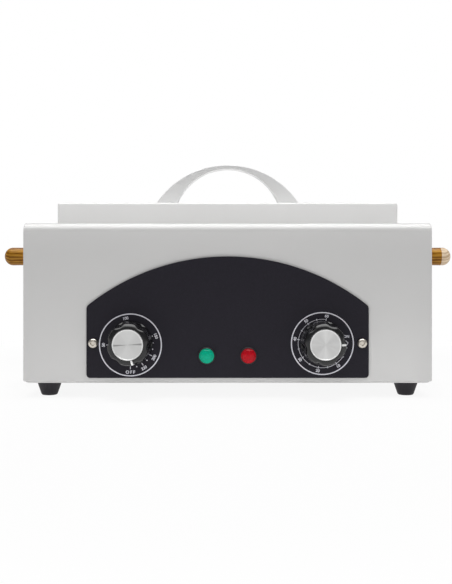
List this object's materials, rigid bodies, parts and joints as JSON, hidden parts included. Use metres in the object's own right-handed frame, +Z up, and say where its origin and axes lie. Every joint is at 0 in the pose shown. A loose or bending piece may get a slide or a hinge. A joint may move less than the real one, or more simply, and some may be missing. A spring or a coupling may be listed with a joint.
{
  "type": "dry heat sterilizer",
  "caption": "Bench-top dry heat sterilizer: painted steel case with a heated chamber under a lift-off lid with a bow handle, an instrument tray, control knobs and wooden side pegs.",
  "frame": {"origin": "middle of the bounding box on the plane that the feet stand on", "axes": "+Z up, +X to the right along the width, -Y towards the control panel"},
  "size_m": [0.459, 0.239, 0.225],
  "materials": {
    "casing_paint": "satin enamel, pale warm grey",
    "lid_paint": "satin enamel, off-white",
    "handle_paint": "satin enamel on a cast bow",
    "panel_black": "fine matt black with pale printed scales",
    "foot_rubber": "matt moulded rubber",
    "knob_plastic": "semi-gloss moulded black",
    "turned_wood": "varnished turned wood",
    "green_lens": "clear green moulded lens",
    "red_lens": "clear red moulded lens",
    "black_plastic": "matt moulded black",
    "pale_plastic": "ceramic-like cream",
    "mineral_fibre": "felted mineral fibre",
    "stainless": "satin stainless",
    "nickel": "warm nickel plate",
    "spun_aluminium": "spun face",
    "plain_steel": "zinc plate",
    "copper_tube": "drawn copper"
  },
  "bodies": {
    "casing": {"casing_shell": "casing_paint", "base_plate": "casing_paint", "foot_front_left": "foot_rubber", "foot_front_right": "foot_rubber", "foot_back_left": "foot_rubber", "foot_back_right": "foot_rubber", "foot_screw_front_left": "plain_steel", "foot_screw_front_right": "plain_steel", "foot_screw_back_left": "plain_steel", "foot_screw_back_right": "plain_steel", "base_screw_front_left": "plain_steel", "base_screw_front_right": "plain_steel", "base_screw_back_left": "plain_steel", "base_screw_back_right": "plain_steel", "front_panel": "panel_black", "panel_screw_left": "nickel", "panel_screw_right": "nickel", "green_lamp_holder": "black_plastic", "green_lamp_lens": "green_lens", "red_lamp_holder": "black_plastic", "red_lamp_lens": "red_lens", "thermostat_body": "plain_steel", "thermostat_bush_nut": "nickel", "timer_body": "plain_steel", "timer_bush_nut": "nickel", "chamber_tank": "stainless", "heater_plate": "spun_aluminium", "heater_element": "plain_steel", "thermal_cutout": "black_plastic", "thermostat_bulb": "copper_tube", "tank_insulation": "mineral_fibre", "heat_shield": "stainless", "terminal_block": "pale_plastic", "cable_gland": "black_plastic", "gland_lock_nut": "black_plastic", "side_peg_left": "turned_wood", "side_peg_right": "turned_wood", "peg_washer_left": "nickel", "peg_washer_right": "nickel", "peg_bolt_left": "plain_steel", "peg_bolt_right": "plain_steel"},
    "temperature_dial": {"temperature_knob": "knob_plastic", "temperature_knob_cap": "spun_aluminium", "temperature_knob_set_screw": "plain_steel", "temperature_shaft": "plain_steel"},
    "timer_dial": {"timer_knob": "knob_plastic", "timer_knob_cap": "spun_aluminium", "timer_knob_set_screw": "plain_steel", "timer_shaft": "plain_steel"},
    "tray": {"instrument_tray": "stainless"},
    "left_bail": {"bail_left": "stainless"},
    "right_bail": {"bail_right": "stainless"},
    "lid": {"lid_shell": "lid_paint", "lid_liner": "stainless", "lid_insulation": "mineral_fibre", "lid_handle": "handle_paint", "handle_screw_left": "plain_steel", "handle_screw_right": "plain_steel"}
  },
  "joints": [
    {"name": "temperature_turn", "type": "hinge", "parent": "casing", "child": "temperature_dial", "pos_m": [-0.0886, -0.09255, 0.0501], "axis": [0, 1, 0], "range_deg": [0, 329]},
    {"name": "timer_turn", "type": "hinge", "parent": "casing", "child": "timer_dial", "pos_m": [0.0868, -0.09255, 0.0501], "axis": [0, 1, 0], "range_deg": [-17.5, 278]},
    {"name": "tray_lift", "type": "slide", "parent": "casing", "child": "tray", "axis": [0, 0, 1], "range_m": [0, 0.12]},
    {"name": "left_bail_fold", "type": "hinge", "parent": "tray", "child": "left_bail", "pos_m": [-0.134, 0.00925, 0.1276], "axis": [0, -1, 0], "range_deg": [0, 180]},
    {"name": "right_bail_fold", "type": "hinge", "parent": "tray", "child": "right_bail", "pos_m": [0.134, 0.00925, 0.1276], "axis": [0, 1, 0], "range_deg": [0, 180]},
    {"name": "lid_lift", "type": "slide", "parent": "tray", "child": "lid", "axis": [0, 0, 1], "range_m": [0, 0.2]}
  ]
}
